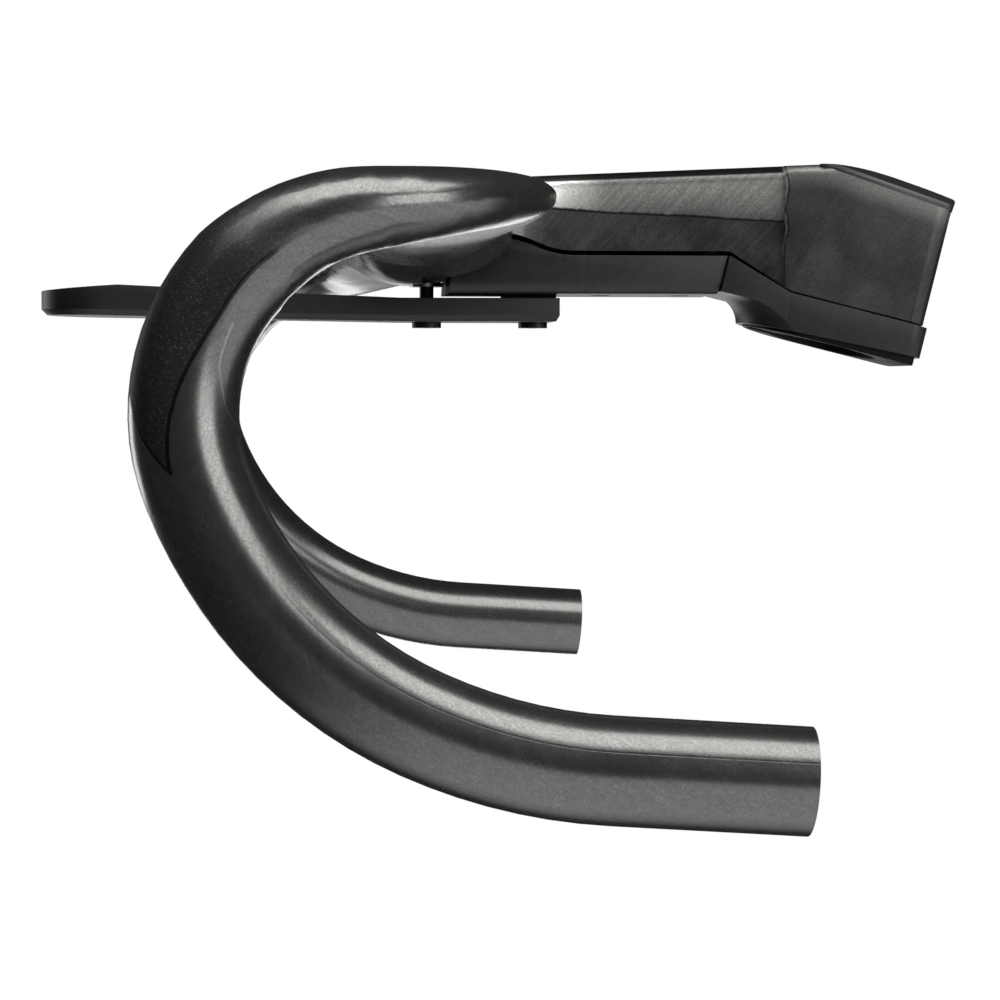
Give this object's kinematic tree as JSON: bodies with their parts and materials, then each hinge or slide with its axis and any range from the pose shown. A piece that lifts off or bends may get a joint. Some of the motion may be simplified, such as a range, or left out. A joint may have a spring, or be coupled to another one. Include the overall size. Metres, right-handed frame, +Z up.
{
  "type": "integrated handlebar stem",
  "caption": "One-piece drop handlebar and stem with an aero top, a split steerer clamp, hose covers underneath and a forward plate for a cycling computer.",
  "frame": {"origin": "centre of the steerer bore on its axis, halfway up the clamp", "axes": "+X towards the rider, -Y to the rider's left, +Z up; the steerer axis leans back by 14 degrees in the XZ plane"},
  "size_m": [0.2597, 0.4506, 0.1603],
  "materials": {
    "carbon_laminate": "satin clear-coated carbon laminate",
    "cover_plastic": "satin moulded",
    "base_plastic": "matt moulded",
    "cap_plastic": "gloss",
    "mount_plate": "matt",
    "socket_plastic": "matt",
    "pad_rubber": "matt",
    "black_steel": "black oxide",
    "insert_metal": "turned"
  },
  "bodies": {
    "root": {"bar_stem_body": "carbon_laminate", "computer_mount_plate": "mount_plate", "computer_socket": "socket_plastic", "cover_insert_back": "insert_metal", "cover_insert_front": "insert_metal", "cover_screw_back": "black_steel", "cover_screw_front": "black_steel", "headset_base": "base_plastic", "headset_cover": "cover_plastic", "mount_bolt_front": "black_steel", "mount_bolt_rear": "black_steel", "mount_insert_front": "insert_metal", "mount_insert_rear": "insert_metal", "mount_spacer_pad": "pad_rubber", "pinch_bolt_lower": "black_steel", "pinch_bolt_upper": "black_steel", "pinch_nut_lower": "insert_metal", "pinch_nut_upper": "insert_metal", "pinch_washer_lower": "black_steel", "pinch_washer_upper": "black_steel", "socket_screw_left": "black_steel", "socket_screw_right": "black_steel", "stem_under_cover": "cover_plastic", "top_cap": "cap_plastic"}
  },
  "joints": []
}
